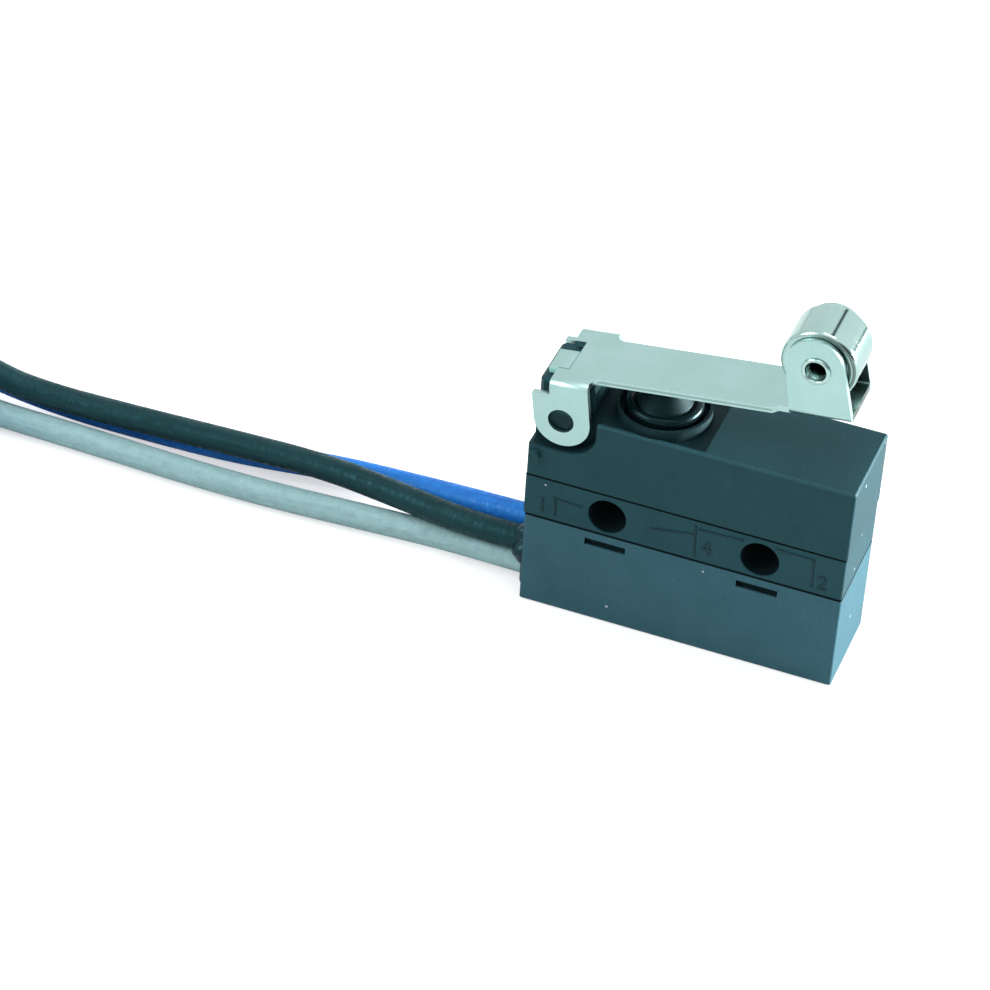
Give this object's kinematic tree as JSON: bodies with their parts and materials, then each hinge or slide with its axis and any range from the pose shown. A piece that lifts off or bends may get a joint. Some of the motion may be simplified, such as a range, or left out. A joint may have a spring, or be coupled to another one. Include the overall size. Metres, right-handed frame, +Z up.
{
  "type": "lever micro switch",
  "caption": "Sealed subminiature snap-action switch: a hinged sheet lever carries a roller and presses a rubber-booted plunger; coloured leads leave one end of the black body.",
  "frame": {"origin": "The middle of the body's flat underside, midway between the two mounting holes, with the switch standing on it.", "axes": "+X runs along the body from the lead end towards the roller; +Y runs through the mounting holes from the face with the diagram to the plain face; +Z is up, from the underside to the lever."},
  "size_m": [0.1009, 0.0212, 0.0238],
  "materials": {
    "moulded_plastic": "satin",
    "pale_plastic": "satin",
    "black_rubber": "satin",
    "bright_steel": "bright",
    "polished_steel": "polished",
    "terminal_brass": "satin",
    "contact_silver": "bright",
    "spring_copper": "satin",
    "spring_steel": "bright",
    "tinned_copper": "bright",
    "solder_tin": "bright",
    "grey_insulation": "satin",
    "black_insulation": "satin",
    "blue_insulation": "satin",
    "black_resin": "gloss",
    "tie_plastic": "satin"
  },
  "bodies": {
    "switch": {"terminal_housing": "moulded_plastic", "switch_base": "moulded_plastic", "upper_cap": "moulded_plastic", "cap_gasket": "black_rubber", "sealing_boot": "black_rubber", "plunger_guide": "moulded_plastic", "common_terminal": "terminal_brass", "normally_open_terminal": "terminal_brass", "normally_closed_terminal": "terminal_brass", "lower_contact": "contact_silver", "upper_contact": "contact_silver", "return_spring": "spring_steel", "black_conductor": "tinned_copper", "blue_conductor": "tinned_copper", "grey_conductor": "tinned_copper", "black_solder": "solder_tin", "blue_solder": "solder_tin", "grey_solder": "solder_tin", "grey_lead": "grey_insulation", "black_lead": "black_insulation", "blue_lead": "blue_insulation", "potting_resin": "black_resin", "grey_hank": "grey_insulation", "blue_hank": "blue_insulation", "black_hank": "black_insulation", "hank_tie": "tie_plastic", "grey_lead_end": "tinned_copper", "blue_lead_end": "tinned_copper", "black_lead_end": "tinned_copper"},
    "lever": {"actuator_lever": "bright_steel", "roller_rivet": "bright_steel"},
    "roller": {"roller": "polished_steel"},
    "plunger": {"plunger": "pale_plastic"},
    "blade": {"moving_blade": "spring_copper", "moving_contact": "contact_silver", "snap_spring": "spring_copper"}
  },
  "joints": [
    {"name": "lever_pivot", "type": "hinge", "parent": "switch", "child": "lever", "pos_m": [-0.0081, 0, 0.01397], "axis": [0, 1, 0], "range_deg": [0, 7.3], "stiffness_Nm_per_rad": 0.01, "springref_deg": -11.46},
    {"name": "roller_spin", "type": "hinge", "parent": "lever", "child": "roller", "pos_m": [0.00643, 0, 0.02153], "axis": [0, 1, 0], "continuous": true},
    {"name": "plunger_slide", "type": "slide", "parent": "switch", "child": "plunger", "axis": [0, 0, -1], "range_m": [0, 0.00071], "deforming": ["sealing_boot", "return_spring"]},
    {"name": "blade_rock", "type": "hinge", "parent": "switch", "child": "blade", "pos_m": [-0.0067, 0, 0.01118], "axis": [0, 1, 0], "range_deg": [0, 2.06]}
  ],
  "couplings": [
    {"joint": "plunger_slide", "follows": "lever_pivot", "m_per_rad": 0.005494},
    {"joint": "blade_rock", "follows": "lever_pivot", "ratio": 0.2753}
  ]
}
